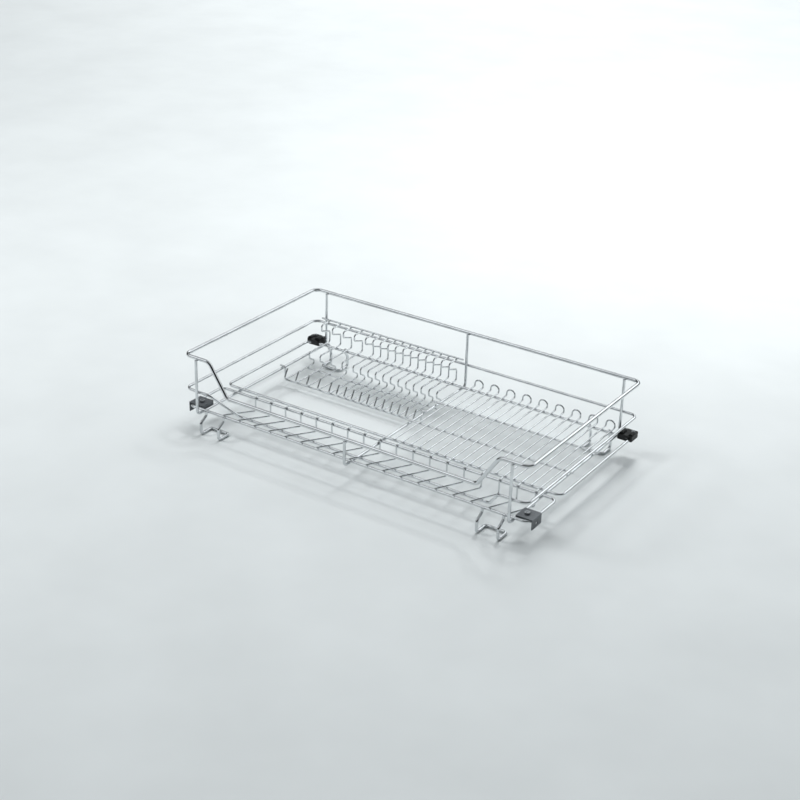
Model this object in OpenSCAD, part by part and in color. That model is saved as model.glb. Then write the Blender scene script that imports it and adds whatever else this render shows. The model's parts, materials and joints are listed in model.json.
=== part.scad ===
// Pull-out dish drying basket of welded wire for a base cabinet, with two lift-out racks.
// +X runs along the width, +Y to the back of the cabinet and +Z up. The floor is at z = 0.

/* [Basket size] */
// Width over the top rail
width = 832; // [800:0.1:1000]
// Depth over the top rail
depth = 466; // [450:0.1:560]
// Height from the floor to the top of the top rail
height = 171; // [160:1:210]

/* [Rails] */
// Diameter of the top rail
rail_d = 8; // [7:0.1:10]
// Diameter of the frame wires
frame_d = 6; // [5:0.5:7]
// Corner radius of the rails
corner_r = 16; // [12:1:30]
// How far the front dip of the top rail drops
dip_drop = 70.6; // [50:0.1:74]
// Distance from the side to the start of the dip
dip_side = 64; // [58:1:90]
// Sideways run of the sloping ends of the dip
dip_run = 47; // [30:1:60]
// Distance of the middle rail below the top rail
middle_drop = 77; // [76:1:90]
// Sideways run of the sloping front ends of the middle rail
middle_run = 44.5; // [44:0.5:60]
// How far back the low front run of the middle rail lies
middle_back = 47.7; // [35:0.1:60]

/* [Cross frames] */
// Distance of the cross frames below the top rail
cross_drop = 127; // [120:1:140]
// Distance of the outer cross frames from the side
cross_side = 34.3; // [32:0.1:40]
// Sideways offset of the middle cross frame
cross_offset = 0.8; // [0:0.1:6]
// Bend radius of the cross frames
cross_bend = 10; // [8:0.5:14]

/* [Base rings] */
// Distance of the rear ring behind the front rail
ring_front = 136.4; // [132:0.1:160]
// Distance of the rear ring in front of the back rail
ring_back = 24; // [20:0.5:26]
// Corner radius of the base rings
ring_r = 14; // [10:1:18]
// Distance of the front ring behind the front rail
trough_front = 9.5; // [8:0.5:14]
// Depth of the front ring
trough_depth = 108.5; // [100:0.5:112]

/* [Trough wires] */
// Number of trough wires
trough_count = 18; // [8:1:18]
// Distance from one trough wire to the next
trough_pitch = 40.3; // [38:0.1:40.4]
// Place of the first trough wire along X
trough_first = -317; // [-330:1:-300]
// Diameter of the thin floor wires
wire_d = 3.5; // [3:0.1:4.2]
// Bend radius of the thin wires
wire_bend = 5; // [4.5:0.1:5.5]

/* [Feet] */
// Distance between the two legs of a foot
foot_gap = 47; // [36:1:60]
// Distance of the feet from the middle of the basket
foot_x = 338; // [320:1:345]
// Forward step of the front feet below the ring
front_step = 18; // [12:1:26]
// Backward step of the back feet below the ring
back_step = 9; // [4:1:12]
// Length of the bars of a foot on the floor
foot_bar = 34; // [24:1:40]
// Bend radius of the feet
foot_bend = 6; // [5:0.5:7]

/* [Plate rack] */
// Number of wide plate slots
wide_count = 4; // [1:1:4]
// Pitch of the wide plate slots
wide_pitch = 30.5; // [26:0.1:31]
// Number of narrow plate slots
narrow_count = 11; // [4:1:11]
// Pitch of the narrow plate slots
narrow_pitch = 20.2; // [17:0.1:20.4]
// Height of the plate rack's top runs over the floor wires
divider_rise = 51; // [46:1:60]
// Depth of the plate valley below the floor wires
valley_drop = 33.5; // [29:0.5:34]
// Depth of the plate valley from front to back
valley_depth = 112.5; // [80:0.5:140]
// Height of the leaning prongs
prong_rise = 24; // [16:1:34]
// Backward lean of the prongs
prong_lean = 14; // [6:1:18]
// Diameter of the bearer wires of the plate rack
bearer_d = 4; // [3.5:0.1:4.5]

/* [Cup rack] */
// Number of arches at the back of the cup rack
arch_count = 9; // [3:1:9]
// Distance between the floor wires
floor_pitch = 20; // [18:0.1:20.2]
// Height of the arches over the floor wires
arch_rise = 15.2; // [14:0.1:30]
// Diameter of the cross wires of the cup rack
cup_cross_d = 4.5; // [4:0.1:5]

/* [Rear clips] */
// Height of a rear clip
clip_h = 19.2; // [16:0.1:30]
// Length of a rear clip from front to back
clip_l = 33; // [30:1:36]
// Diameter of the inner hump on a rear clip
clip_hump_d = 14; // [8:1:16]
// Diameter of the outer hump on a rear clip
clip_hump2_d = 10; // [8:1:14]
// Diameter of the clip screws
clip_screw_d = 4; // [3:0.5:5]

/* [Front brackets] */
// Length of a front bracket from front to back
bracket_l = 36; // [30:1:44]
// Thickness of the bracket steel
bracket_t = 2; // [1.5:0.1:2]
// Height of the outer flange of a bracket
flange_h = 22; // [18:1:26]
// Diameter of the runner pin hole in the flange
pin_hole_d = 6.2; // [5:0.1:8]
// Diameter of the bracket screw
bracket_screw_d = 5; // [4:0.5:6]

/* [Fits] */
// Depth that one welded wire sinks into the other
weld = 0.2; // [0.1:0.05:0.3]
// Gap between a lift-out rack and the wires it rests on
rest_gap = 0.3; // [0.3:0.05:0.8]
// Gap between a clip and the ring wire inside it
clip_gap = 0.1; // [0.05:0.05:0.3]

/* [Hidden] */
$fn = 48;

// Colours of the preview
chrome = "#c9cdd1";
black = "#1f2123";
graphite = "#54585c";

// A press makes a bend slightly thicker than the straight wire, whose ends sit inside the bend
bend_swell = 1.02;
bend_bite = 0.3;

// Radii
rail_r = rail_d / 2;
frame_r = frame_d / 2;
wire_r = wire_d / 2;
bearer_r = bearer_d / 2;
cup_cross_r = cup_cross_d / 2;

// The front rail's middle line, placed so that the basket is centred from front to back
front_toe = front_step - (trough_front - 2 * frame_r + weld);
rail_x = width / 2 - rail_r;
front_y = -(depth - rail_r - front_toe - frame_r) / 2;
back_y = front_y + depth - rail_d;

// Heights of the wires' middle lines
top_z = height - rail_r;
dip_z = top_z - dip_drop;
middle_z = top_z - middle_drop;
cross_z = top_z - cross_drop;
ring_z = cross_z + frame_d - weld;
low_z = cross_z - frame_d + weld;
rack_z = ring_z + frame_r + rest_gap + wire_r;
weld_z = ring_z + frame_r + wire_r - weld;

// Cross frames: the back post stands inside the rails, the front post outside them
cross_x = width / 2 - cross_side - rail_r;
post_step = 2 * frame_r - weld;
post_bite = 0.5;
post_dip = sqrt(rail_r * rail_r - (post_step - frame_r) * (post_step - frame_r)) - post_bite;
post_front_y = front_y - post_step;
post_back_y = back_y - post_step;

// Base rings
rear_ring_y0 = front_y + ring_front;
rear_ring_y1 = back_y - ring_back;
trough_y0 = front_y + trough_front;
trough_y1 = trough_y0 + trough_depth;

// The sloping trough wires lie on the front ring and on the middle rail's low run
trough_head = 8;
trough_tip = 6;
head_bend = wire_r + 1;
low_y = front_y + middle_back;
slope = [low_y - trough_y0, low_z - ring_z] / norm([low_y - trough_y0, low_z - ring_z]);
lift = frame_r + wire_r - weld;
slope_start = [trough_y0 - slope[1] * lift, ring_z + slope[0] * lift];
drop_y = trough_y1 - lift;
drop_z = slope_start[1] + (drop_y - slope_start[0]) * slope[1] / slope[0];
beside = frame_r + wire_r - weld / 2;

// Feet: the legs are welded to the rings and step outwards below the cross frames
leg_rise = 2.5;
leg_top_z = ring_z + leg_rise;
leg_drop = 1.4;
step_z0 = cross_z - leg_drop;
step_drop = 11;
step_z1 = step_z0 - step_drop;
foot_z = frame_r * bend_swell;

// Plate rack, from the shelf at the back to the valley
divider_inset = 12.4;
divider_x0 = -cross_x + divider_inset;
divider_end_x = divider_x0 + wide_count * wide_pitch + narrow_count * narrow_pitch;
plate_rail_gap = 0.7;
plate_rail_y = post_back_y - frame_r - plate_rail_gap - bearer_r;
plate_rail_x0 = divider_x0 - 20;
plate_rail_x1 = divider_end_x + 17;
shelf_depth = 29.7;
kink_y = plate_rail_y - shelf_depth;
heel_y = post_back_y - frame_r;
heel_rise = 25.6;
heel_z = rack_z + heel_rise;
kink_rise = 11.4;
kink_z = heel_z + kink_rise;
divider_top_z = rack_z + divider_rise;
valley_inset = 70.8;
valley_back_y = back_y - valley_inset;
valley_front_y = valley_back_y - valley_depth;
valley_z = rack_z - valley_drop;
step_depth = 17.2;
step_y = valley_back_y - step_depth;
step_share = 0.6;
step_z = valley_z + valley_drop * step_share;
kneel_share = 0.28;
kneel_z = valley_z + valley_drop * kneel_share;

// Bearers of the plate rack
bearer_end = 5;
bearer_z = valley_z - wire_r - bearer_r + weld;
front_bearer_inset = 11.3;
front_bearer_y = valley_front_y + front_bearer_inset;
back_bearer_inset = 22;
back_bearer_y = valley_back_y - back_bearer_inset;
hook_gap = 2.4;
hook_reach = 5.7;
hook_bend = bearer_r + 1.5;
hook_z = cross_z + frame_r + rest_gap + bearer_r;

// Cup rack
cup_inset = 10;
cup_x0 = cross_x - cup_inset - (2 * arch_count - 1) * floor_pitch;
cup_overhang = 6.4;
cup_front_y = rear_ring_y0 - cup_overhang;
cup_cross_z = rack_z - wire_r - cup_cross_r + weld;
cup_cross_share0 = 0.491;
cup_cross_share1 = 0.72;
cup_cross_end = 8;
cup_cross_x0 = min(cup_x0, cross_offset) - cup_cross_end;
cup_cross_x1 = cross_x + cup_inset;
arch_foot_bend = 3.5;
arch_bend = floor_pitch / 2;

// Rear clips around the rear corners of the rear ring, and their humps
clip_side_gap = 2.3;
clip_wall = 2;
clip_drop = 5;
clip_corner = 4;
clip_x0 = cross_x + frame_r + clip_side_gap;
clip_x1 = rail_x + frame_r + 2;
clip_y0 = rear_ring_y1 - frame_r - clip_wall;
clip_y1 = clip_y0 + clip_l;
clip_z0 = ring_z - clip_drop;
cap_z1 = clip_z0 + clip_h - clip_hump_d / 2;
clip_hump_y = clip_y0 + 4;
clip_hump_l = clip_l - 17;

// Clip screws
clip_screw_y = clip_y1 - 9;
clip_screw_xs = [clip_x0 + 7, clip_x1 - 8];
clip_screw_r = clip_screw_d / 2;
screw_gap = 0.05;
screw_head_h = 2.6;
cross_slot_w = 1;
cross_slot_h = 1;
through = 1;

// Front brackets over the sides of the front ring, held from below by a clamp plate
touch = 0.05;
bracket_wall = 1.5;
bracket_y0 = trough_y0 + frame_r + bracket_wall;
bracket_x0 = cross_x + frame_r - touch;
bracket_x1 = rail_x + frame_r - touch + bracket_t;
bracket_z = ring_z + frame_r - touch;
inner_flange_z = cross_z - 1;
pin_hole_rise = 8;
pin_hole_z = bracket_z + bracket_t - flange_h + pin_hole_rise;
bracket_screw_x = (cross_x + rail_x) / 2 + 1;
bracket_screw_y = bracket_y0 + bracket_l / 2;
bracket_screw_r = bracket_screw_d / 2;
bracket_head_h = 3.4;
clamp_z = ring_z - frame_r + touch - bracket_t;
clamp_gap = 1;
clamp_inset0 = 8;
clamp_inset1 = 4;
nut_h = 3.2;
screw_tip = 1.5;

// One straight length of wire from a to b
module rod(a, b, r) {
    d = b - a;
    if (norm(d) > 0.01)
        translate(a)
            rotate([0, acos(d[2] / norm(d)), atan2(d[1], d[0])])
                cylinder(r = r, h = norm(d));
}

// One bend of wire about c: it leaves along a and turns towards n
module bend(c, a, n, radius, angle, r) {
    k = cross(-n, a);
    multmatrix([
        [-n[0], a[0], k[0], c[0]],
        [-n[1], a[1], k[1], c[1]],
        [-n[2], a[2], k[2], c[2]],
        [0, 0, 0, 1]
    ])
        rotate_extrude(angle = angle)
            translate([radius, 0])
                circle(r = r * bend_swell);
}

function unit(v) = v / norm(v);
function at(p, i) = p[(i + len(p)) % len(p)];
function heading(p, i) = unit(at(p, i + 1) - at(p, i));
function turn(p, i) = acos(max(-1, min(1, heading(p, i - 1) * heading(p, i))));
function trim(p, i, q) = q[i % len(q)] == 0 ? 0 : q[i % len(q)] * tan(turn(p, i) / 2) - bend_bite;

// Wire through the points p with the bend radius q[i] at p[i], where 0 is a free end
module wire(p, q, r) {
    for (i = [0 : len(p) - 1])
        if (q[i] != 0 || q[(i + 1) % len(p)] != 0) {
            free = q[i] == 0 && i == len(p) - 1;
            u = heading(p, i);
            if (!free)
                rod(p[i] + u * trim(p, i, q), at(p, i + 1) - u * trim(p, i + 1, q), r);
        }
    for (i = [0 : len(p) - 1])
        if (q[i] != 0) {
            a = heading(p, i - 1);
            b = heading(p, i);
            n = unit(b - (a * b) * a);
            bend(p[i] - a * q[i] * tan(turn(p, i) / 2) + n * q[i], a, n, q[i], turn(p, i), r);
        }
}

// Bend radii of an open wire of n points, and of a closed one
function open_bends(v, n) = [for (i = [1 : n]) (i == 1 || i == n) ? 0 : v];
function closed_bends(v, n) = [for (i = [1 : n]) v];

module mirrored() {
    children();
    mirror([1, 0, 0])
        children();
}

module round_block(x0, x1, y0, y1, z0, z1, r) {
    translate([x0 + r, y0, z0])
        cube([x1 - x0 - 2 * r, y1 - y0, z1 - z0]);
    translate([x0, y0 + r, z0])
        cube([x1 - x0, y1 - y0 - 2 * r, z1 - z0]);
    for (x = [x0 + r, x1 - r])
        for (y = [y0 + r, y1 - r])
            translate([x, y, z0])
                cylinder(r = r, h = z1 - z0);
}

// ---- Basket ----

module top_rail() {
    color(chrome)
        wire([
            [-rail_x + dip_side, front_y, top_z],
            [-rail_x + dip_side + dip_run, front_y, dip_z],
            [rail_x - dip_side - dip_run, front_y, dip_z],
            [rail_x - dip_side, front_y, top_z],
            [rail_x, front_y, top_z],
            [rail_x, back_y, top_z],
            [-rail_x, back_y, top_z],
            [-rail_x, front_y, top_z]
        ], closed_bends(corner_r, 8), rail_r);
}

module middle_rail() {
    color(chrome)
        wire([
            [-rail_x + dip_side - 1, front_y, middle_z],
            [-rail_x + dip_side - 1 + middle_run, low_y, low_z],
            [rail_x - dip_side + 1 - middle_run, low_y, low_z],
            [rail_x - dip_side + 1, front_y, middle_z],
            [rail_x, front_y, middle_z],
            [rail_x, back_y, middle_z],
            [-rail_x, back_y, middle_z],
            [-rail_x, front_y, middle_z]
        ], closed_bends(corner_r, 8), frame_r);
}

module base_ring(y0, y1) {
    wire([
        [-rail_x, y0, ring_z],
        [rail_x, y0, ring_z],
        [rail_x, y1, ring_z],
        [-rail_x, y1, ring_z]
    ], closed_bends(ring_r, 4), frame_r);
}

module rear_ring() {
    color(chrome)
        base_ring(rear_ring_y0, rear_ring_y1);
}

module front_ring() {
    color(chrome)
        base_ring(trough_y0, trough_y1);
}

module cross_frame(x, front_top) {
    wire([
        [x, post_back_y, top_z - post_dip],
        [x, post_back_y, cross_z],
        [x, post_front_y, cross_z],
        [x, post_front_y, front_top - post_dip]
    ], [0, cross_bend, cross_bend, 0], frame_r);
}

module side_frames() {
    color(chrome)
        mirrored()
            cross_frame(cross_x, top_z);
}

module centre_frame() {
    color(chrome)
        cross_frame(cross_offset, dip_z);
}

// A trough wire that would meet or just miss the middle cross frame is welded to its side instead
function clear_of_frame(x) =
    abs(x - cross_offset) < frame_d ? cross_offset + (x < cross_offset ? -beside : beside) : x;

module trough_wires() {
    color(chrome)
        for (i = [0 : trough_count - 1])
            translate([clear_of_frame(trough_first + i * trough_pitch), 0, 0])
                wire([
                    [0, trough_y1 + trough_head, weld_z],
                    [0, drop_y, weld_z],
                    [0, drop_y, drop_z],
                    [0, slope_start[0] - trough_tip * slope[0], slope_start[1] - trough_tip * slope[1]]
                ], [0, head_bend, wire_bend, 0], wire_r);
}

// One foot is one wire: a leg, a bar on the floor, a cross bar, a bar and a leg
module foot(y, step, bar) {
    x0 = foot_x - foot_gap / 2;
    x1 = foot_x + foot_gap / 2;
    mirrored()
        wire([
            [x0, y, leg_top_z],
            [x0, y, step_z0],
            [x0, y + step, step_z1],
            [x0, y + step, foot_z],
            [x0, y + step + bar, foot_z],
            [x1, y + step + bar, foot_z],
            [x1, y + step, foot_z],
            [x1, y + step, step_z1],
            [x1, y, step_z0],
            [x1, y, leg_top_z]
        ], open_bends(foot_bend, 10), frame_r);
}

module front_feet() {
    color(chrome)
        foot(trough_y0 - 2 * frame_r + weld, -front_step, foot_bar);
}

module back_feet() {
    color(chrome)
        foot(rear_ring_y1 + 2 * frame_r - weld, back_step, -foot_bar);
}

// ---- Rear clips ----

module clip_bore() {
    wire([
        [clip_x0 - ring_r, rear_ring_y1, ring_z],
        [rail_x, rear_ring_y1, ring_z],
        [rail_x, clip_y0 - ring_r, ring_z]
    ], [0, ring_r, 0], frame_r + clip_gap);
}

module clip_screw_holes(z0, z1) {
    for (x = clip_screw_xs)
        translate([x, clip_screw_y, z0 - through])
            cylinder(r = clip_screw_r + screw_gap, h = z1 - z0 + 2 * through);
}

module clip_bases() {
    color(black)
        mirrored()
            difference() {
                round_block(clip_x0, clip_x1, clip_y0, clip_y1, clip_z0, ring_z, clip_corner);
                clip_bore();
                clip_screw_holes(clip_z0, ring_z);
            }
}

// A hump is the part of a lying cylinder about x, of diameter d, above the cap
module clip_hump(x, d) {
    intersection() {
        translate([x, clip_hump_y, cap_z1 - through])
            rotate([-90, 0, 0])
                cylinder(d = d, h = clip_hump_l);
        translate([x - d / 2, clip_hump_y, ring_z])
            cube([d, clip_hump_l, clip_h]);
    }
}

module clip_caps() {
    color(black)
        mirrored()
            difference() {
                union() {
                    round_block(clip_x0, clip_x1, clip_y0, clip_y1, ring_z, cap_z1, clip_corner);
                    clip_hump(clip_x0 + clip_hump_d / 2, clip_hump_d);
                    clip_hump(clip_x1 - clip_hump2_d / 2, clip_hump2_d);
                }
                clip_bore();
                clip_screw_holes(ring_z, cap_z1 + clip_h);
            }
}

// A round head of height h with a cross slot
module cross_head(r, h, slot_w, slot_h) {
    difference() {
        cylinder(r = r, h = h);
        for (a = [0, 90])
            rotate(a)
                translate([-slot_w / 2, -r - through, h - slot_h])
                    cube([slot_w, 2 * (r + through), slot_h + through]);
    }
}

module clip_screws() {
    color(graphite)
        mirrored()
            for (x = clip_screw_xs)
                translate([x, clip_screw_y, clip_z0 + through]) {
                    cylinder(r = clip_screw_r, h = cap_z1 - clip_z0 - through);
                    translate([0, 0, cap_z1 - clip_z0 - through])
                        cross_head(2 * clip_screw_r, screw_head_h, cross_slot_w, cross_slot_h);
                }
}

// ---- Front brackets ----

module bracket_plate() {
    translate([bracket_x0, bracket_y0, bracket_z])
        cube([bracket_x1 - bracket_x0, bracket_l, bracket_t]);
    translate([bracket_x0, bracket_y0, inner_flange_z])
        cube([bracket_t, bracket_l, bracket_z - inner_flange_z]);
    translate([bracket_x1 - bracket_t, bracket_y0, bracket_z + bracket_t - flange_h])
        cube([bracket_t, bracket_l, flange_h]);
}

module bracket_screw_hole(z) {
    translate([bracket_screw_x, bracket_screw_y, z - through])
        cylinder(r = bracket_screw_r + screw_gap, h = bracket_t + 2 * through);
}

module front_brackets() {
    color(graphite)
        mirrored()
            difference() {
                bracket_plate();
                bracket_screw_hole(bracket_z);
                translate([bracket_x1 - bracket_t - through, bracket_screw_y, pin_hole_z])
                    rotate([0, 90, 0])
                        cylinder(d = pin_hole_d, h = bracket_t + 2 * through);
            }
}

module clamp_plates() {
    clamp_x0 = bracket_x0 + bracket_t + clamp_gap;
    clamp_x1 = bracket_x1 - bracket_t - clamp_gap;
    color(graphite)
        mirrored()
            difference() {
                translate([clamp_x0, bracket_y0 + clamp_inset0, clamp_z])
                    cube([clamp_x1 - clamp_x0, bracket_l - clamp_inset0 - clamp_inset1, bracket_t]);
                bracket_screw_hole(clamp_z);
            }
}

module bracket_screws() {
    tip_z = clamp_z - nut_h - screw_tip;
    head_z = bracket_z + bracket_t;
    color(graphite)
        mirrored()
            translate([bracket_screw_x, bracket_screw_y, tip_z]) {
                cylinder(r = bracket_screw_r, h = head_z - tip_z);
                translate([0, 0, head_z - tip_z])
                    cross_head(2.2 * bracket_screw_r, bracket_head_h, cross_slot_w, 2 * cross_slot_h);
            }
}

module bracket_nuts() {
    color(graphite)
        mirrored()
            translate([bracket_screw_x, bracket_screw_y, clamp_z - nut_h])
                difference() {
                    cylinder(r = 2 * bracket_screw_r, h = nut_h, $fn = 6);
                    translate([0, 0, -through])
                        cylinder(r = bracket_screw_r + screw_gap, h = nut_h + 2 * through);
                }
}

// ---- Plate rack ----

module divider() {
    wire([
        [0, plate_rail_y + bearer_r, divider_top_z],
        [0, kink_y, divider_top_z],
        [0, kink_y, kink_z],
        [0, heel_y, heel_z],
        [0, heel_y, rack_z],
        [0, step_y, rack_z],
        [0, step_y, step_z],
        [0, valley_back_y, kneel_z],
        [0, valley_back_y, valley_z],
        [0, valley_front_y, valley_z],
        [0, valley_front_y + prong_lean, valley_z + prong_rise]
    ], open_bends(wire_bend, 11), wire_r);
}

module plate_dividers() {
    color(chrome)
        for (i = [0 : wide_count + narrow_count])
            translate([
                divider_x0 + min(i, wide_count) * wide_pitch + max(0, i - wide_count) * narrow_pitch,
                0,
                0
            ])
                divider();
}

module bar(x0, x1, y, z, r) {
    translate([x0, y, z])
        rotate([0, 90, 0])
            cylinder(r = r, h = x1 - x0);
}

module plate_top_rail() {
    color(chrome)
        bar(plate_rail_x0, plate_rail_x1, plate_rail_y, divider_top_z + wire_r + bearer_r - weld, bearer_r);
}

module plate_back_bearer() {
    color(chrome)
        bar(divider_x0 - bearer_end, divider_end_x + bearer_end, back_bearer_y, bearer_z, bearer_r);
}

// The ends of the front bearer rise and hook over the outer and the middle cross frame
module plate_front_bearer() {
    x0 = -cross_x + frame_r + hook_gap + bearer_r;
    x1 = cross_offset - frame_r - hook_gap - bearer_r;
    color(chrome)
        wire([
            [-cross_x - hook_reach, front_bearer_y, hook_z],
            [x0, front_bearer_y, hook_z],
            [x0, front_bearer_y, bearer_z],
            [x1, front_bearer_y, bearer_z],
            [x1, front_bearer_y, hook_z],
            [cross_offset + hook_reach, front_bearer_y, hook_z]
        ], open_bends(hook_bend, 6), bearer_r);
}

// ---- Cup rack ----

module cup_wires() {
    color(chrome)
        for (i = [0 : arch_count - 1])
            translate([cup_x0 + 2 * i * floor_pitch, 0, 0])
                wire([
                    [0, cup_front_y, rack_z],
                    [0, heel_y, rack_z],
                    [0, heel_y, rack_z + arch_rise],
                    [floor_pitch, heel_y, rack_z + arch_rise],
                    [floor_pitch, heel_y, rack_z],
                    [floor_pitch, cup_front_y, rack_z]
                ], [0, arch_foot_bend, arch_bend, arch_bend, arch_foot_bend, 0], wire_r);
}

module cup_cross_front() {
    color(chrome)
        bar(cup_cross_x0, cup_cross_x1, front_y + depth * cup_cross_share0, cup_cross_z, cup_cross_r);
}

module cup_cross_back() {
    color(chrome)
        bar(cup_cross_x0, cup_cross_x1, front_y + depth * cup_cross_share1, cup_cross_z, cup_cross_r);
}

top_rail();
middle_rail();
rear_ring();
front_ring();
side_frames();
centre_frame();
trough_wires();
front_feet();
back_feet();
clip_bases();
clip_caps();
clip_screws();
front_brackets();
clamp_plates();
bracket_screws();
bracket_nuts();
plate_top_rail();
plate_dividers();
plate_back_bearer();
plate_front_bearer();
cup_wires();
cup_cross_front();
cup_cross_back();
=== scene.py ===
"""Finishes, small details and studio for a pull-out dish drying basket of welded chrome wire.

Run as a script in Blender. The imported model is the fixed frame: the pieces' places are read from it.
"""

import json
import math

import bmesh
import bpy
from mathutils import Matrix, Vector, noise

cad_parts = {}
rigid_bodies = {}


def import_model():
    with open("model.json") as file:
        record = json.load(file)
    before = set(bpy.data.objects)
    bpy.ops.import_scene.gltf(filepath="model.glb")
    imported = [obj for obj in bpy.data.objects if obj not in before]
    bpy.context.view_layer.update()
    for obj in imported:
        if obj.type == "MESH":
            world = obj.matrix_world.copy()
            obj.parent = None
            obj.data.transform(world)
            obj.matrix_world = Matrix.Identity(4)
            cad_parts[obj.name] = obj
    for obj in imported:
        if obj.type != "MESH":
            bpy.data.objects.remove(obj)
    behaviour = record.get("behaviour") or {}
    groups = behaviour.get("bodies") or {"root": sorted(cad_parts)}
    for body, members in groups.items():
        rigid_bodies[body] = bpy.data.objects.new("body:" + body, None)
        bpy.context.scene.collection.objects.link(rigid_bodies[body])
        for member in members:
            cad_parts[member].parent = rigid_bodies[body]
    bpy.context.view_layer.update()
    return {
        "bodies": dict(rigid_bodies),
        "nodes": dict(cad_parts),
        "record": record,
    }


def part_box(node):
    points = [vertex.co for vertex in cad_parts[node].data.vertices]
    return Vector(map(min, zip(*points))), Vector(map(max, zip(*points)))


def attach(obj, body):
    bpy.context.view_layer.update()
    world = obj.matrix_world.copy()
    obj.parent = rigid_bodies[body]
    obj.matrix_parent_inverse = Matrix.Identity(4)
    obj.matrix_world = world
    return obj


bl_info = {
    "name": "Dish Basket Finishes",
    "version": (1, 0, 0),
    "blender": (4, 5, 0),
    "location": "View3D > Sidebar > Dish Basket",
    "description": "Finishes, welds, wire ends and a studio for a wire dish drying basket",
    "category": "Object",
}

MM = 0.001
WIRE_GAP = 5 * MM  # points of one wire are nearer than this to each other along X
ROUND_FIT = (0.98, 1.01)  # how near to its wire's radius the points of a cut end lie
FLAT_FIT = 0.01  # how far from flat a cut end may be, as a share of its wire's radius
END_POINTS = 8  # a cut end has at least this many points
SENSOR_MM = 36
FURTHEST_SEEN = 100  # metres

# What all noises share, the part of their values that a finish spreads over its own range, and the
# values at which its darkest and lightest colours lie
NOISE = {"Roughness": 0.55}
NOISE_SWING = {"From Min": 0.3, "From Max": 0.7}
DARK_STOP, LIGHT_STOP = 0.32, 0.68

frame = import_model()


# ---- Colours and units ----


def hex_colour(code):
    """sRGB hex to the linear colour that Blender's sockets hold."""
    channels = [int(code[i : i + 2], 16) / 255 for i in (1, 3, 5)]
    return [c / 12.92 if c <= 0.04045 else ((c + 0.055) / 1.055) ** 2.4 for c in channels]


def per_metre(size_mm):
    """Texture scale that gives a pattern of about size_mm in object coordinates."""
    return 1 / (size_mm * MM)


# ---- Settings ----


class DISHBASKET_PG_finishes(bpy.types.PropertyGroup):
    chrome: bpy.props.FloatVectorProperty(
        name="Chrome",
        description="Reflected colour of the chrome plating",
        subtype="COLOR",
        default=hex_colour("#dcdfe1"),
    )
    plastic: bpy.props.FloatVectorProperty(
        name="Clip plastic",
        description="Colour of the moulded rear clips",
        subtype="COLOR",
        default=hex_colour("#0b0c0d"),
    )
    coating: bpy.props.FloatVectorProperty(
        name="Bracket coating",
        description="Colour of the coated front brackets",
        subtype="COLOR",
        default=hex_colour("#4b4f53"),
    )
    zinc: bpy.props.FloatVectorProperty(
        name="Zinc plating",
        description="Reflected colour of the screws and nuts",
        subtype="COLOR",
        default=hex_colour("#a9adb0"),
    )
    paper: bpy.props.FloatVectorProperty(
        name="Floor",
        description="Colour of the studio floor",
        subtype="COLOR",
        default=hex_colour("#d9dedf"),
    )


class DISHBASKET_PG_details(bpy.types.PropertyGroup):
    weld_width: bpy.props.FloatProperty(
        name="Weld width",
        description="Width of a weld as a share of the thinner wire's radius",
        default=1.12,
        min=0.5,
        max=1.5,
        subtype="FACTOR",
    )
    weld_height: bpy.props.FloatProperty(
        name="Weld height",
        description="Height of a weld as a share of the thinner wire's radius",
        default=0.6,
        min=0.2,
        max=1.0,
        subtype="FACTOR",
    )
    dome: bpy.props.FloatProperty(
        name="End dome",
        description="Height of the dome on a cut wire end as a share of the wire's radius",
        default=0.42,
        min=0.1,
        max=1.0,
        subtype="FACTOR",
    )
    moulded_edge: bpy.props.FloatProperty(
        name="Moulded edge",
        description="Edge radius of the plastic clips",
        default=0.9 * MM,
        min=0.1 * MM,
        max=2 * MM,
        unit="LENGTH",
    )
    pressed_edge: bpy.props.FloatProperty(
        name="Pressed edge",
        description="Edge radius of the steel brackets and clamp plates",
        default=0.45 * MM,
        min=0.1 * MM,
        max=0.9 * MM,
        unit="LENGTH",
    )
    fastener_edge: bpy.props.FloatProperty(
        name="Fastener edge",
        description="Edge radius of the screw heads and nuts",
        default=0.3 * MM,
        min=0.05 * MM,
        max=0.6 * MM,
        unit="LENGTH",
    )


class DISHBASKET_PG_studio(bpy.types.PropertyGroup):
    azimuth: bpy.props.FloatProperty(
        name="Azimuth",
        description="Direction of the camera round the basket",
        default=math.radians(32.948),
        unit="ROTATION",
    )
    elevation: bpy.props.FloatProperty(
        name="Elevation",
        description="Height of the camera above the horizon",
        default=math.radians(25.994),
        unit="ROTATION",
    )
    roll: bpy.props.FloatProperty(
        name="Roll",
        description="Roll of the camera about its line of sight",
        default=math.radians(1.833),
        unit="ROTATION",
    )
    distance: bpy.props.FloatProperty(
        name="Distance",
        description="Distance from the camera to the point that it looks at",
        default=3.2,
        unit="LENGTH",
    )
    aim: bpy.props.FloatVectorProperty(
        name="Aim",
        description="Point that the camera looks at",
        default=(0.0140, -0.0525, 0.1209),
        unit="LENGTH",
        subtype="TRANSLATION",
    )
    lens: bpy.props.FloatProperty(
        name="Lens",
        description="Focal length in millimetres on a 36 mm sensor",
        default=70.57,
        unit="CAMERA",
    )
    floor_size: bpy.props.FloatProperty(
        name="Floor size",
        description="Side of the studio floor",
        default=24.0,
        unit="LENGTH",
    )


# ---- Reading the frame ----


def centre(node):
    low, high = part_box(node)
    return (low + high) / 2


def clusters(values, gap):
    """Middles of the groups that the values fall into where neighbours are under gap apart."""
    groups = []
    for value in sorted(values):
        if groups and value - groups[-1][-1] < gap:
            groups[-1].append(value)
        else:
            groups.append([value])
    return [(group[0] + group[-1]) / 2 for group in groups]


def wire_places(node, keep=lambda p: True):
    """Places along X of the parallel wires of a node."""
    points = [v.co for v in frame["nodes"][node].data.vertices]
    return clusters([p.x for p in points if keep(p)], WIRE_GAP)


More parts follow.
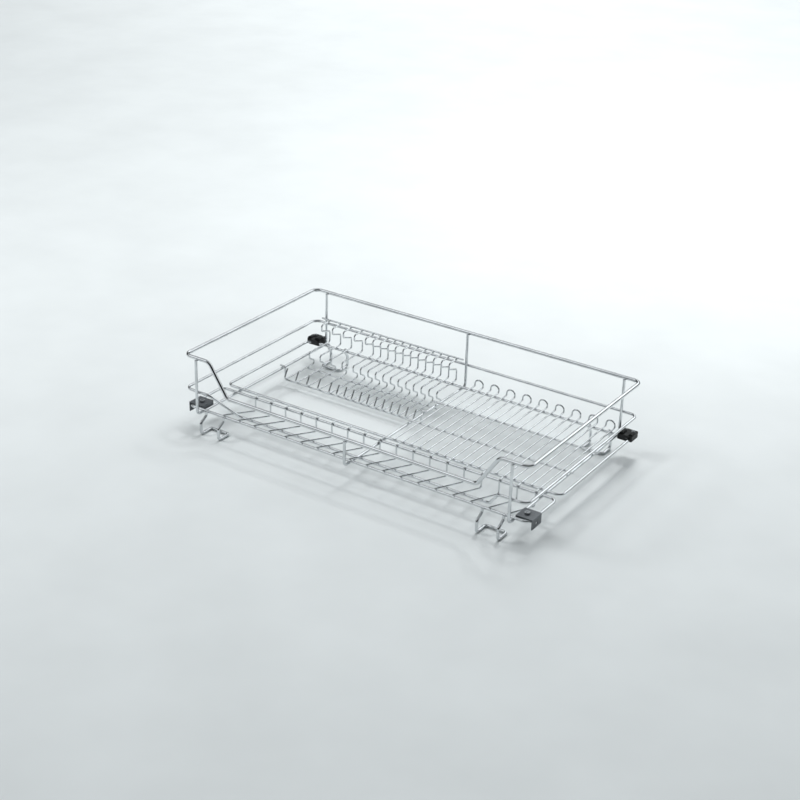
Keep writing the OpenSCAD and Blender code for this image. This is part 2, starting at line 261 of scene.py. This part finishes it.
def islands(mesh):
    """Groups of the mesh's vertices that edges join."""
    parent = list(range(len(mesh.vertices)))

    def root(i):
        while parent[i] != i:
            parent[i] = parent[parent[i]]
            i = parent[i]
        return i

    for edge in mesh.edges:
        a, b = (root(i) for i in edge.vertices)
        parent[a] = b
    found = {}
    for i in range(len(mesh.vertices)):
        found.setdefault(root(i), []).append(mesh.vertices[i].co)
    return list(found.values())


def free_ends(node, radius):
    """Centre and axis of each cut end of a node's wires.

    The points of a cut end aren't joined to those of the wire's side, so the end is an island, and
    it is flat and round.
    """
    ends = []
    for points in islands(frame["nodes"][node].data):
        middle = sum(points, Vector()) / len(points)
        reach = [(p - middle).length for p in points]
        round_end = radius * ROUND_FIT[0] <= min(reach) and max(reach) <= radius * ROUND_FIT[1]
        if len(points) < END_POINTS or not round_end:
            continue
        axis = (points[0] - middle).cross(points[len(points) // 3] - middle).normalized()
        if max(abs((p - middle).dot(axis)) for p in points) < radius * FLAT_FIT:
            ends.append((middle, axis))
    return ends


# ---- Node trees ----


def add(tree, kind, settings=None, links=None, stops=(), **attributes):
    """Adds a node, sets its attributes, inputs and colour stops, and links its inputs.

    links gives an input a (node, output) pair, and stops are (position, colour) pairs.
    """
    made = tree.nodes.new(kind)
    for name, value in attributes.items():
        setattr(made, name, value)
    for name, value in (settings or {}).items():
        made.inputs[name].default_value = value
    for name, (source, output) in (links or {}).items():
        tree.links.new(source.outputs[output], made.inputs[name])
    for i, (position, colour) in enumerate(stops):
        made.color_ramp.elements[i].position = position
        made.color_ramp.elements[i].color = (*colour, 1)
    return made


def new_material(name, preview):
    """An empty material with its node tree and its texture coordinates."""
    material = bpy.data.materials.new(name)
    material.use_nodes = True
    material.diffuse_color = (*preview, 1)
    tree = material.node_tree
    tree.nodes.clear()
    return material, tree, add(tree, "ShaderNodeTexCoord")


def scaled(colour, share):
    return [c * share for c in colour]


# ---- Materials ----


def chrome_plated_wire(finishes, radius_mm, name):
    """Low-carbon steel wire, drawn, bent, welded, then nickel and chrome plated and left bright.

    The eye gets a near mirror with a cool tint: hard highlights along the wire, dark edges where it
    turns away, faint waves from the drawing die and a slight bloom where the bath plated thicker.
    """
    colour = list(finishes.chrome)
    material, tree, coords = new_material(name, colour)
    bloom = add(
        tree,
        "ShaderNodeTexNoise",
        {**NOISE, "Scale": per_metre(radius_mm * 9), "Detail": 3.0},
        {"Vector": (coords, "Object")},
    )
    tint = add(
        tree,
        "ShaderNodeValToRGB",
        links={"Fac": (bloom, "Fac")},
        stops=((DARK_STOP, scaled(colour, 0.86)), (LIGHT_STOP, scaled(colour, 1.06))),
    )
    mist = add(
        tree,
        "ShaderNodeTexNoise",
        {**NOISE, "Scale": per_metre(radius_mm * 4), "Detail": 4.0},
        {"Vector": (coords, "Object")},
    )
    haze = add(
        tree,
        "ShaderNodeMapRange",
        {**NOISE_SWING, "To Min": 0.04, "To Max": 0.11},
        {"Value": (mist, "Fac")},
    )
    wave = add(
        tree,
        "ShaderNodeTexNoise",
        {**NOISE, "Scale": per_metre(radius_mm * 1.6), "Detail": 1.0},
        {"Vector": (coords, "Object")},
    )
    drawn = add(
        tree,
        "ShaderNodeBump",
        {"Strength": 0.12, "Distance": 0.012 * MM},
        {"Height": (wave, "Fac")},
    )
    # Plating grain is a few hundredths of a millimetre, drawn at 0.3 mm so that it shows
    grain = add(
        tree,
        "ShaderNodeTexNoise",
        {**NOISE, "Scale": per_metre(0.3), "Detail": 2.0},
        {"Vector": (coords, "Object")},
    )
    plated = add(
        tree,
        "ShaderNodeBump",
        {"Strength": 0.08, "Distance": 0.003 * MM},
        {"Height": (grain, "Fac"), "Normal": (drawn, "Normal")},
    )
    shader = add(
        tree,
        "ShaderNodeBsdfPrincipled",
        {"Metallic": 1.0},
        {"Base Color": (tint, "Color"), "Roughness": (haze, "Result"), "Normal": (plated, "Normal")},
    )
    add(tree, "ShaderNodeOutputMaterial", links={"Surface": (shader, "BSDF")})
    return material


def plated_weld(finishes):
    """Resistance weld between two wires, plated together with them.

    The squeezed-out steel is rough under the plating, so it scatters light and looks darker
    and more satin than the wire.
    """
    colour = scaled(finishes.chrome, 0.72)
    material, tree, coords = new_material("chrome_plated_weld", colour)
    mottle = add(
        tree,
        "ShaderNodeTexNoise",
        {**NOISE, "Scale": per_metre(1.2), "Detail": 3.0},
        {"Vector": (coords, "Object")},
    )
    tint = add(
        tree,
        "ShaderNodeValToRGB",
        links={"Fac": (mottle, "Fac")},
        stops=((DARK_STOP, scaled(colour, 0.7)), (LIGHT_STOP, scaled(colour, 1.15))),
    )
    rough = add(
        tree,
        "ShaderNodeMapRange",
        {**NOISE_SWING, "To Min": 0.18, "To Max": 0.38},
        {"Value": (mottle, "Fac")},
    )
    lumps = add(
        tree,
        "ShaderNodeTexNoise",
        {**NOISE, "Scale": per_metre(0.7), "Detail": 3.0},
        {"Vector": (coords, "Object")},
    )
    squeezed = add(
        tree,
        "ShaderNodeBump",
        {"Strength": 0.5, "Distance": 0.12 * MM},
        {"Height": (lumps, "Fac")},
    )
    shader = add(
        tree,
        "ShaderNodeBsdfPrincipled",
        {"Metallic": 1.0},
        {"Base Color": (tint, "Color"), "Roughness": (rough, "Result"), "Normal": (squeezed, "Normal")},
    )
    add(tree, "ShaderNodeOutputMaterial", links={"Surface": (shader, "BSDF")})
    return material


def moulded_abs(finishes):
    """Black ABS, injection moulded in a spark-eroded tool.

    The fine tool texture breaks the highlight up into a soft satin sheen, and the edges, which
    get handled, are a little greyer.
    """
    colour = list(finishes.plastic)
    material, tree, coords = new_material("moulded_black_abs", colour)
    cloud = add(
        tree,
        "ShaderNodeTexNoise",
        {**NOISE, "Scale": per_metre(6), "Detail": 3.0},
        {"Vector": (coords, "Object")},
    )
    base = add(
        tree,
        "ShaderNodeValToRGB",
        links={"Fac": (cloud, "Fac")},
        stops=((DARK_STOP, scaled(colour, 0.8)), (LIGHT_STOP, scaled(colour, 1.25))),
    )
    edge = add(tree, "ShaderNodeNewGeometry")
    worn = add(
        tree,
        "ShaderNodeMapRange",
        {"From Min": 0.5, "From Max": 0.62, "To Min": 0.0, "To Max": 1.0},
        {"Value": (edge, "Pointiness")},
    )
    rubbed = add(
        tree,
        "ShaderNodeMix",
        {"B": (*hex_colour("#232527"), 1)},
        {"Factor": (worn, "Result"), "A": (base, "Color")},
        data_type="RGBA",
    )
    satin = add(
        tree,
        "ShaderNodeMapRange",
        {**NOISE_SWING, "To Min": 0.38, "To Max": 0.52},
        {"Value": (cloud, "Fac")},
    )
    # Spark texture is about 0.1 mm, drawn at 0.35 mm so that it shows
    pits = add(
        tree,
        "ShaderNodeTexNoise",
        {**NOISE, "Scale": per_metre(0.35), "Detail": 2.0},
        {"Vector": (coords, "Object")},
    )
    spark = add(
        tree,
        "ShaderNodeBump",
        {"Strength": 0.35, "Distance": 0.04 * MM},
        {"Height": (pits, "Fac")},
    )
    shader = add(
        tree,
        "ShaderNodeBsdfPrincipled",
        {"IOR": 1.54, "Specular IOR Level": 0.3},
        {"Base Color": (rubbed, "Result"), "Roughness": (satin, "Result"), "Normal": (spark, "Normal")},
    )
    add(tree, "ShaderNodeOutputMaterial", links={"Surface": (shader, "BSDF")})
    return material


def graphite_coating(finishes):
    """Folded sheet steel with a graphite powder coat.

    The coat flows into a faint orange peel with a fine metallic sparkle, and it is thinner and
    lighter along the folded and cut edges.
    """
    colour = list(finishes.coating)
    material, tree, coords = new_material("graphite_powder_coated_steel", colour)
    # Metal flakes are under 0.1 mm, drawn at 0.5 mm so that they show
    fleck = add(
        tree,
        "ShaderNodeTexNoise",
        {**NOISE, "Scale": per_metre(0.5), "Detail": 2.0},
        {"Vector": (coords, "Object")},
    )
    base = add(
        tree,
        "ShaderNodeValToRGB",
        links={"Fac": (fleck, "Fac")},
        stops=((DARK_STOP, scaled(colour, 0.72)), (LIGHT_STOP, scaled(colour, 1.35))),
    )
    edge = add(tree, "ShaderNodeNewGeometry")
    thin = add(
        tree,
        "ShaderNodeMapRange",
        {"From Min": 0.51, "From Max": 0.6, "To Min": 0.0, "To Max": 0.8},
        {"Value": (edge, "Pointiness")},
    )
    coat = add(
        tree,
        "ShaderNodeMix",
        {"B": (*hex_colour("#8b9094"), 1)},
        {"Factor": (thin, "Result"), "A": (base, "Color")},
        data_type="RGBA",
    )
    flow = add(
        tree,
        "ShaderNodeTexNoise",
        {**NOISE, "Scale": per_metre(4), "Detail": 3.0},
        {"Vector": (coords, "Object")},
    )
    sheen = add(
        tree,
        "ShaderNodeMapRange",
        {**NOISE_SWING, "To Min": 0.28, "To Max": 0.42},
        {"Value": (flow, "Fac")},
    )
    ripple = add(
        tree,
        "ShaderNodeTexNoise",
        {**NOISE, "Scale": per_metre(1.1), "Detail": 1.0},
        {"Vector": (coords, "Object")},
    )
    peel = add(
        tree,
        "ShaderNodeBump",
        {"Strength": 0.3, "Distance": 0.05 * MM},
        {"Height": (ripple, "Fac")},
    )
    shader = add(
        tree,
        "ShaderNodeBsdfPrincipled",
        {"IOR": 1.5, "Metallic": 0.45},
        {"Base Color": (coat, "Result"), "Roughness": (sheen, "Result"), "Normal": (peel, "Normal")},
    )
    add(tree, "ShaderNodeOutputMaterial", links={"Surface": (shader, "BSDF")})
    return material


def zinc_plating(finishes):
    """Cold-headed steel screws and nuts, barrel zinc plated.

    Tumbling leaves them softly dull with small scratches.
    """
    colour = list(finishes.zinc)
    material, tree, coords = new_material("zinc_plated_steel", colour)
    dull = add(
        tree,
        "ShaderNodeTexNoise",
        {**NOISE, "Scale": per_metre(1.5), "Detail": 4.0},
        {"Vector": (coords, "Object")},
    )
    tint = add(
        tree,
        "ShaderNodeValToRGB",
        links={"Fac": (dull, "Fac")},
        stops=((DARK_STOP, scaled(colour, 0.75)), (LIGHT_STOP, scaled(colour, 1.1))),
    )
    rough = add(
        tree,
        "ShaderNodeMapRange",
        {**NOISE_SWING, "To Min": 0.28, "To Max": 0.5},
        {"Value": (dull, "Fac")},
    )
    # Scratches are under 0.1 mm wide, drawn at 0.4 mm along the wider way so that they show
    squashed = add(tree, "ShaderNodeMapping", {"Scale": (1, 6, 1)}, {"Vector": (coords, "Object")})
    scratches = add(
        tree,
        "ShaderNodeTexNoise",
        {**NOISE, "Scale": per_metre(0.4), "Detail": 3.0},
        {"Vector": (squashed, "Vector")},
    )
    scuff = add(
        tree,
        "ShaderNodeBump",
        {"Strength": 0.25, "Distance": 0.02 * MM},
        {"Height": (scratches, "Fac")},
    )
    shader = add(
        tree,
        "ShaderNodeBsdfPrincipled",
        {"Metallic": 1.0},
        {"Base Color": (tint, "Color"), "Roughness": (rough, "Result"), "Normal": (scuff, "Normal")},
    )
    add(tree, "ShaderNodeOutputMaterial", links={"Surface": (shader, "BSDF")})
    return material


def studio_paper(finishes):
    """Seamless background paper, matt, with faint clouding from its rolling."""
    colour = list(finishes.paper)
    material, tree, coords = new_material("seamless_paper", colour)
    cloud = add(
        tree,
        "ShaderNodeTexNoise",
        {**NOISE, "Scale": per_metre(260), "Detail": 3.0},
        {"Vector": (coords, "Object")},
    )
    base = add(
        tree,
        "ShaderNodeValToRGB",
        links={"Fac": (cloud, "Fac")},
        stops=((DARK_STOP, scaled(colour, 0.965)), (LIGHT_STOP, scaled(colour, 1.02))),
    )
    fibres = add(
        tree,
        "ShaderNodeTexNoise",
        {**NOISE, "Scale": per_metre(2), "Detail": 3.0},
        {"Vector": (coords, "Object")},
    )
    tooth = add(
        tree,
        "ShaderNodeBump",
        {"Strength": 0.05, "Distance": 0.1 * MM},
        {"Height": (fibres, "Fac")},
    )
    shader = add(
        tree,
        "ShaderNodeBsdfPrincipled",
        {"Roughness": 0.85, "Specular IOR Level": 0.2},
        {"Base Color": (base, "Color"), "Normal": (tooth, "Normal")},
    )
    add(tree, "ShaderNodeOutputMaterial", links={"Surface": (shader, "BSDF")})
    return material


# ---- Pieces ----

WIRE_RADII_MM = {
    "top_rail": 4,
    "middle_rail": 3,
    "rear_ring": 3,
    "front_ring": 3,
    "side_frames": 3,
    "centre_frame": 3,
    "trough_wires": 1.75,
    "front_feet": 3,
    "back_feet": 3,
    "plate_top_rail": 2,
    "plate_dividers": 1.75,
    "plate_back_bearer": 2,
    "plate_front_bearer": 2,
    "cup_wires": 1.75,
    "cup_cross_front": 2.25,
    "cup_cross_back": 2.25,
}
BODY_OF = {
    node: body for body, nodes in frame["record"]["behaviour"]["bodies"].items() for node in nodes
}
THIN = WIRE_RADII_MM["trough_wires"] * MM
MID = WIRE_RADII_MM["front_ring"] * MM
HEAVY = WIRE_RADII_MM["top_rail"] * MM
BEARER = WIRE_RADII_MM["plate_back_bearer"] * MM
ALONG_X, ALONG_Y, UP = Vector((1, 0, 0)), Vector((0, 1, 0)), Vector((0, 0, 1))

WELD_NARROWING = 0.8  # a weld's reach across the wire as a share of its reach along it
WELD_LUMPS = 0.25  # how far a weld strays from a smooth shape, as a share of its size
END_FIT = 0.995  # a dome's width as a share of its wire's, so that the two don't coincide


def assign(obj, material):
    obj.data.materials.clear()
    obj.data.materials.append(material)


def fix_order(bm):
    """Sorts the faces by their corners, because a ball's faces come in another order each run."""
    bm.verts.index_update()
    ranked = sorted(bm.faces, key=lambda face: sorted(v.index for v in face.verts))
    for i, face in enumerate(ranked):
        face.index = i
    bm.faces.sort(key=lambda face: face.index)


def make_piece(name, bm, body, material):
    """A smooth mesh piece that rides on a CAD body."""
    if not bm.faces:
        raise RuntimeError(f"Nothing was found to make {name} from")
    fix_order(bm)
    mesh = bpy.data.meshes.new(name)
    for face in bm.faces:
        face.smooth = True
    bm.to_mesh(mesh)
    bm.free()
    piece = bpy.data.objects.new(name, mesh)
    bpy.context.scene.collection.objects.link(piece)
    assign(piece, material)
    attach(piece, body)


def blob(bm, place, normal, along, size, lumpy=0.0):
    """A flattened ball at place: size is its reach along the wire, across it and along normal."""
    z = normal.normalized()
    x = (along - along.dot(z) * z).normalized()
    turn = Matrix((x, z.cross(x), z)).transposed().to_4x4()
    matrix = Matrix.Translation(place) @ turn @ Matrix.Diagonal((*size, 1))
    made = bmesh.ops.create_uvsphere(bm, u_segments=16, v_segments=10, radius=1, matrix=matrix)
    if lumpy:
        reach = sum(size) / 3
        for v in made["verts"]:
            v.co += (v.co - place) * lumpy * noise.noise(v.co / reach)


def soften(node, width, material, segments=3):
    """Rounds the sharp edges of a CAD node with modifiers and gives it its material."""
    obj = frame["nodes"][node]
    weld = obj.modifiers.new("Join split points", "WELD")
    weld.merge_threshold = 0.01 * MM
    bevel = obj.modifiers.new("Round edges", "BEVEL")
    bevel.width = width
    bevel.segments = segments
    bevel.limit_method = "ANGLE"
    bevel.angle_limit = math.radians(40)
    bevel.use_clamp_overlap = True
    bevel.harden_normals = True
    assign(obj, material)


# ---- Places of the welds ----
#
# Each function yields a weld's place, the normal from one wire to the other, the direction that it
# is drawn out along and the radius of the thinner wire.


def runs(node):
    """Places along Y of the front and back runs of a 6 mm frame."""
    low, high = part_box(node)
    return low.y + MID, high.y - MID


def low_run():
    """Place along Y, height and reach along X of the middle rail's low front run."""
    low_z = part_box("middle_rail")[0].z + MID
    points = [v.co for v in frame["nodes"]["middle_rail"].data.vertices if v.co.z < low_z]
    return sum(p.y for p in points) / len(points), low_z, max(p.x for p in points)


def trough_welds():
    """The trough wires on the front ring and on the low run of the middle rail."""
    ring_z = centre("front_ring").z
    front_y, back_y = runs("front_ring")
    low_y, low_z, reach = low_run()
    slope = Vector((0, low_y - front_y, low_z - ring_z)).normalized()
    lean = Vector((0, -slope.z, slope.y))
    for x in wire_places("trough_wires"):
        yield Vector((x, back_y, ring_z + MID)), UP, ALONG_Y, THIN
        yield Vector((x, front_y, ring_z)) + lean * MID, lean, slope, THIN
        if abs(x) < reach - 2 * MID:
            yield Vector((x, low_y, low_z)) + lean * MID, lean, slope, THIN


def frame_welds():
    """The side frames and the centre frame on the rings and the rails."""
    ring_z = centre("front_ring").z
    top_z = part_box("top_rail")[1].z - HEAVY
    dip_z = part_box("top_rail")[0].z + HEAVY
    middle_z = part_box("middle_rail")[1].z - MID
    cross_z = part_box("centre_frame")[0].z + MID
    front_y, back_y = runs("side_frames")
    posts = [(x, top_z, True) for x in wire_places("side_frames")]
    posts.append((centre("centre_frame").x, dip_z, False))
    for x, front_z, at_side in posts:
        for y in (*runs("front_ring"), *runs("rear_ring")):
            yield Vector((x, y, ring_z - MID)), UP, ALONG_Y, MID
        yield Vector((x, back_y + MID, middle_z)), ALONG_Y, UP, MID
        yield Vector((x, back_y + MID, top_z - MID)), UP, ALONG_X, MID
        yield Vector((x, front_y + MID, front_z - MID)), UP, ALONG_X, MID
        if at_side:
            yield Vector((x, front_y + MID, middle_z)), ALONG_Y, UP, MID
        else:
            yield Vector((x, low_run()[0], cross_z - MID)), UP, ALONG_Y, MID


def foot_welds():
    """The legs of the feet on the outsides of the rings."""
    ring_z = centre("front_ring").z
    outsides = {"front_feet": runs("front_ring")[0] - MID, "back_feet": runs("rear_ring")[1] + MID}
    for node, y in outsides.items():
        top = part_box(node)[1].z
        for x in wire_places(node, lambda p: p.z > top - MID):
            yield Vector((x, y, ring_z)), ALONG_Y, UP, MID


def plate_rack_welds():
    """The dividers on the rail along their tops and on the two bearers."""
    rail, back = centre("plate_top_rail"), centre("plate_back_bearer")
    front_y = centre("plate_front_bearer").y
    front_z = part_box("plate_front_bearer")[0].z + BEARER
    for x in wire_places("plate_dividers"):
        yield Vector((x, rail.y, rail.z - BEARER)), UP, ALONG_Y, THIN
        yield Vector((x, back.y, back.z + BEARER)), UP, ALONG_Y, THIN
        yield Vector((x, front_y, front_z)) + UP * BEARER, UP, ALONG_Y, THIN


def cup_rack_welds():
    """The floor runs of the cup wires on the two cross wires."""
    floor_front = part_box("cup_wires")[0].y
    for x in wire_places("cup_wires", lambda p: p.y < floor_front + MID):
        for node in ("cup_cross_front", "cup_cross_back"):
            low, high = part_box(node)
            yield Vector((x, (low.y + high.y) / 2, high.z)), UP, ALONG_Y, THIN


WELDS = {
    "basket": (trough_welds, frame_welds, foot_welds),
    "plate_rack": (plate_rack_welds,),
    "cup_rack": (cup_rack_welds,),
}


# ---- Operators for the pieces ----


class DISHBASKET_OT_wires(bpy.types.Operator):
    """Gives every wire its bright chrome plating"""

    bl_idname = "dishbasket.wires"
    bl_label = "Chrome Wires"

    def execute(self, context):
        finishes = context.scene.dishbasket_finishes
        made = {}
        for node, radius in WIRE_RADII_MM.items():
            if radius not in made:
                name = f"chrome_plated_wire_{2 * radius:g}mm"
                made[radius] = chrome_plated_wire(finishes, radius, name)
            assign(frame["nodes"][node], made[radius])
        return {"FINISHED"}


class DISHBASKET_OT_welds(bpy.types.Operator):
    """Adds the squeezed-out weld at each place where two wires cross"""

    bl_idname = "dishbasket.welds"
    bl_label = "Welds"

    def execute(self, context):
        details = context.scene.dishbasket_details
        material = plated_weld(context.scene.dishbasket_finishes)
        for body in frame["bodies"]:
            bm = bmesh.new()
            for places in WELDS[body]:
                for place, normal, along, radius in places():
                    width = radius * details.weld_width
                    size = (width, width * WELD_NARROWING, radius * details.weld_height)
                    blob(bm, place, normal, along, size, WELD_LUMPS)
            make_piece(f"welds_{body}", bm, body, material)
        return {"FINISHED"}


class DISHBASKET_OT_wire_ends(bpy.types.Operator):
    """Rounds the cut ends of the wires with a low plated dome"""

    bl_idname = "dishbasket.wire_ends"
    bl_label = "Wire Ends"

    def execute(self, context):
        details = context.scene.dishbasket_details
        meshes = {body: bmesh.new() for body in frame["bodies"]}
        for node, radius_mm in WIRE_RADII_MM.items():
            radius = radius_mm * MM
            size = (radius * END_FIT, radius * END_FIT, radius * details.dome)
            for place, axis in free_ends(node, radius):
                blob(meshes[BODY_OF[node]], place, axis, axis.orthogonal(), size)
        material = frame["nodes"]["cup_wires"].data.materials[0]
        for body, bm in meshes.items():
            make_piece(f"wire_ends_{body}", bm, body, material)
        return {"FINISHED"}


class DISHBASKET_OT_clips(bpy.types.Operator):
    """Rounds the moulded rear clips and gives them their plastic"""

    bl_idname = "dishbasket.clips"
    bl_label = "Rear Clips"

    def execute(self, context):
        details = context.scene.dishbasket_details
        plastic = moulded_abs(context.scene.dishbasket_finishes)
        for node in ("clip_bases", "clip_caps"):
            soften(node, details.moulded_edge, plastic)
        return {"FINISHED"}


class DISHBASKET_OT_brackets(bpy.types.Operator):
    """Rounds the pressed front brackets and clamp plates and gives them their coating"""

    bl_idname = "dishbasket.brackets"
    bl_label = "Front Brackets"

    def execute(self, context):
        details = context.scene.dishbasket_details
        coating = graphite_coating(context.scene.dishbasket_finishes)
        for node in ("front_brackets", "clamp_plates"):
            soften(node, details.pressed_edge, coating)
        return {"FINISHED"}


class DISHBASKET_OT_fasteners(bpy.types.Operator):
    """Rounds the screws and nuts and gives them their zinc plating"""

    bl_idname = "dishbasket.fasteners"
    bl_label = "Screws and Nuts"

    def execute(self, context):
        details = context.scene.dishbasket_details
        zinc = zinc_plating(context.scene.dishbasket_finishes)
        for node in ("clip_screws", "bracket_screws", "bracket_nuts"):
            soften(node, details.fastener_edge, zinc, 2)
        return {"FINISHED"}


# ---- Studio ----

# The room's glow is made of ramps over the direction from the basket: each takes an axis, where on
# it the ramp starts and ends, and its values there.
ROOM_RAMPS = {
    "hem": ("Z", 0.32, 0.44, 0.0, 1.9),
    "fade": ("Z", 0.5, 0.8, 1.0, 0.15),
    "behind": ("Y", 0.1, 0.55, 0.0, 1.0),
    "right": ("X", -0.85, -0.3, 0.05, 1.0),
    "screen_left": ("X", -0.5, -0.15, 1.15, 0.0),
    "screen_front": ("Y", -0.3, 0.1, 1.0, 0.0),
    "screen_hem": ("Z", 0.28, 0.42, 0.0, 1.0),
    "ceiling": ("Z", 0.5, 0.95, 0.01, 0.35),
}
# Each step makes a named value from two that came before it
ROOM_STEPS = (
    ("upright", "MULTIPLY", "hem", "fade"),
    ("sideways", "MULTIPLY", "behind", "right"),
    ("cloth", "MULTIPLY", "upright", "sideways"),
    ("screen_side", "MULTIPLY", "screen_left", "screen_front"),
    ("screen", "MULTIPLY", "screen_side", "screen_hem"),
    ("panels", "ADD", "cloth", "screen"),
    ("glow", "ADD", "panels", "ceiling"),
)


def studio_world():
    """A tent of pale cloth behind the basket and a screen at its front left, in a dark room.

    Both start a little above the horizon, and the cloth is brightest low down at the back. The
    front right is dark, so chrome shows bright cores between dark edges. Where the camera looks
    past the floor, it sees pale paper.
    """
    world = bpy.data.worlds.new("studio_room")
    world.use_nodes = True
    tree = world.node_tree
    tree.nodes.clear()
    coords = add(tree, "ShaderNodeTexCoord")
    way = add(tree, "ShaderNodeSeparateXYZ", links={"Vector": (coords, "Generated")})
    values = {}
    for name, (axis, start, end, low, high) in ROOM_RAMPS.items():
        ramp = add(
            tree,
            "ShaderNodeMapRange",
            {"From Min": start, "From Max": end, "To Min": low, "To Max": high},
            {"Value": (way, axis)},
            interpolation_type="SMOOTHSTEP",
        )
        values[name] = (ramp, "Result")
    for name, operation, first, second in ROOM_STEPS:
        links = {0: values[first], 1: values[second]}
        values[name] = (add(tree, "ShaderNodeMath", links=links, operation=operation), "Value")
    room = add(
        tree,
        "ShaderNodeBackground",
        {"Color": (*hex_colour("#f6fafc"), 1)},
        {"Strength": values["glow"]},
    )
    paper = add(
        tree,
        "ShaderNodeBackground",
        {"Color": (*hex_colour("#d5dadc"), 1), "Strength": 1.0},
    )
    seen = add(tree, "ShaderNodeLightPath")
    mixed = add(
        tree,
        "ShaderNodeMixShader",
        links={"Fac": (seen, "Is Camera Ray"), 1: (room, "Background"), 2: (paper, "Background")},
    )
    add(tree, "ShaderNodeOutputWorld", links={"Surface": (mixed, "Shader")})
    return world


def add_lamp(name, kind, place, aim, **settings):
    """A lamp at place that shines towards aim and doesn't show in the chrome."""
    data = bpy.data.lights.new(name, kind)
    for setting, value in settings.items():
        setattr(data, setting, value)
    lamp = bpy.data.objects.new(name, data)
    bpy.context.scene.collection.objects.link(lamp)
    lamp.visible_glossy = False
    lamp.location = place
    lamp.rotation_mode = "QUATERNION"
    lamp.rotation_quaternion = (Vector(aim) - Vector(place)).to_track_quat("-Z", "Y")


def add_floor(size, material):
    bm = bmesh.new()
    bmesh.ops.create_grid(bm, x_segments=8, y_segments=8, size=size / 2)
    mesh = bpy.data.meshes.new("studio_floor")
    bm.to_mesh(mesh)
    bm.free()
    floor = bpy.data.objects.new("studio_floor", mesh)
    bpy.context.scene.collection.objects.link(floor)
    assign(floor, material)


def add_camera(studio):
    """A camera that looks at the aim from its azimuth and elevation, with a slight roll."""
    data = bpy.data.cameras.new("camera")
    data.sensor_width = SENSOR_MM
    data.lens = studio.lens
    data.clip_end = FURTHEST_SEEN
    camera = bpy.data.objects.new("camera", data)
    bpy.context.scene.collection.objects.link(camera)
    a, e = studio.azimuth, studio.elevation
    back = Vector((math.sin(a) * math.cos(e), -math.cos(a) * math.cos(e), math.sin(e)))
    right = UP.cross(back).normalized()
    up = back.cross(right)
    axes = (
        right * math.cos(studio.roll) + up * math.sin(studio.roll),
        up * math.cos(studio.roll) - right * math.sin(studio.roll),
        back,
    )
    place = Vector(studio.aim) + back * studio.distance
    camera.matrix_world = Matrix.Translation(place) @ Matrix(axes).transposed().to_4x4()
    return camera


class DISHBASKET_OT_stage(bpy.types.Operator):
    """Sets up the pale floor, the room, the lamps and the camera"""

    bl_idname = "dishbasket.stage"
    bl_label = "Studio"

    def execute(self, context):
        scene = context.scene
        studio = scene.dishbasket_studio
        add_floor(studio.floor_size, studio_paper(scene.dishbasket_finishes))
        scene.world = studio_world()
        add_lamp("softbox_left", "AREA", (-2.15, -1.1, 2.15), (-1.4, 0, 0), size=0.7, energy=30)
        add_lamp("softbox_back", "AREA", (-0.17, 1.63, 2.29), (0.73, 2.42, 0), size=0.7, energy=42)
        add_lamp("softbox_far", "AREA", (-2.4, 4.6, 3.6), (-2.2, 4.7, 0), size=3, energy=130)
        # An even wash fills the shadows
        add_lamp("wash", "SUN", (-1.2, 1.4, 3), (0, 0, 0), angle=math.radians(25), energy=0.45)
        scene.camera = add_camera(studio)
        scene.view_settings.view_transform = "Standard"
        scene.view_settings.look = "None"
        return {"FINISHED"}


class DISHBASKET_PT_panel(bpy.types.Panel):
    """Lists the settings and the steps in order"""

    bl_idname = "DISHBASKET_PT_panel"
    bl_label = "Dish Basket"
    bl_space_type = "VIEW_3D"
    bl_region_type = "UI"
    bl_category = "Dish Basket"

    def draw(self, context):
        for group in (
            context.scene.dishbasket_finishes,
            context.scene.dishbasket_details,
            context.scene.dishbasket_studio,
        ):
            box = self.layout.box()
            for name in group.__annotations__:
                box.prop(group, name)
        for operator in OPERATORS:
            self.layout.operator(operator.bl_idname)


GROUPS = {
    "dishbasket_finishes": DISHBASKET_PG_finishes,
    "dishbasket_details": DISHBASKET_PG_details,
    "dishbasket_studio": DISHBASKET_PG_studio,
}
OPERATORS = (
    DISHBASKET_OT_wires,
    DISHBASKET_OT_welds,
    DISHBASKET_OT_wire_ends,
    DISHBASKET_OT_clips,
    DISHBASKET_OT_brackets,
    DISHBASKET_OT_fasteners,
    DISHBASKET_OT_stage,
)


def register():
    for group in GROUPS.values():
        bpy.utils.register_class(group)
    for operator in OPERATORS:
        bpy.utils.register_class(operator)
    bpy.utils.register_class(DISHBASKET_PT_panel)
    for name, group in GROUPS.items():
        setattr(bpy.types.Scene, name, bpy.props.PointerProperty(type=group))


def unregister():
    for name in GROUPS:
        delattr(bpy.types.Scene, name)
    bpy.utils.unregister_class(DISHBASKET_PT_panel)
    for operator in reversed(OPERATORS):
        bpy.utils.unregister_class(operator)
    for group in reversed(GROUPS.values()):
        bpy.utils.unregister_class(group)


def main():
    register()
    bpy.ops.dishbasket.wires()
    bpy.ops.dishbasket.welds()
    bpy.ops.dishbasket.wire_ends()
    bpy.ops.dishbasket.clips()
    bpy.ops.dishbasket.brackets()
    bpy.ops.dishbasket.fasteners()
    bpy.ops.dishbasket.stage()


if __name__ == "__main__":
    main()
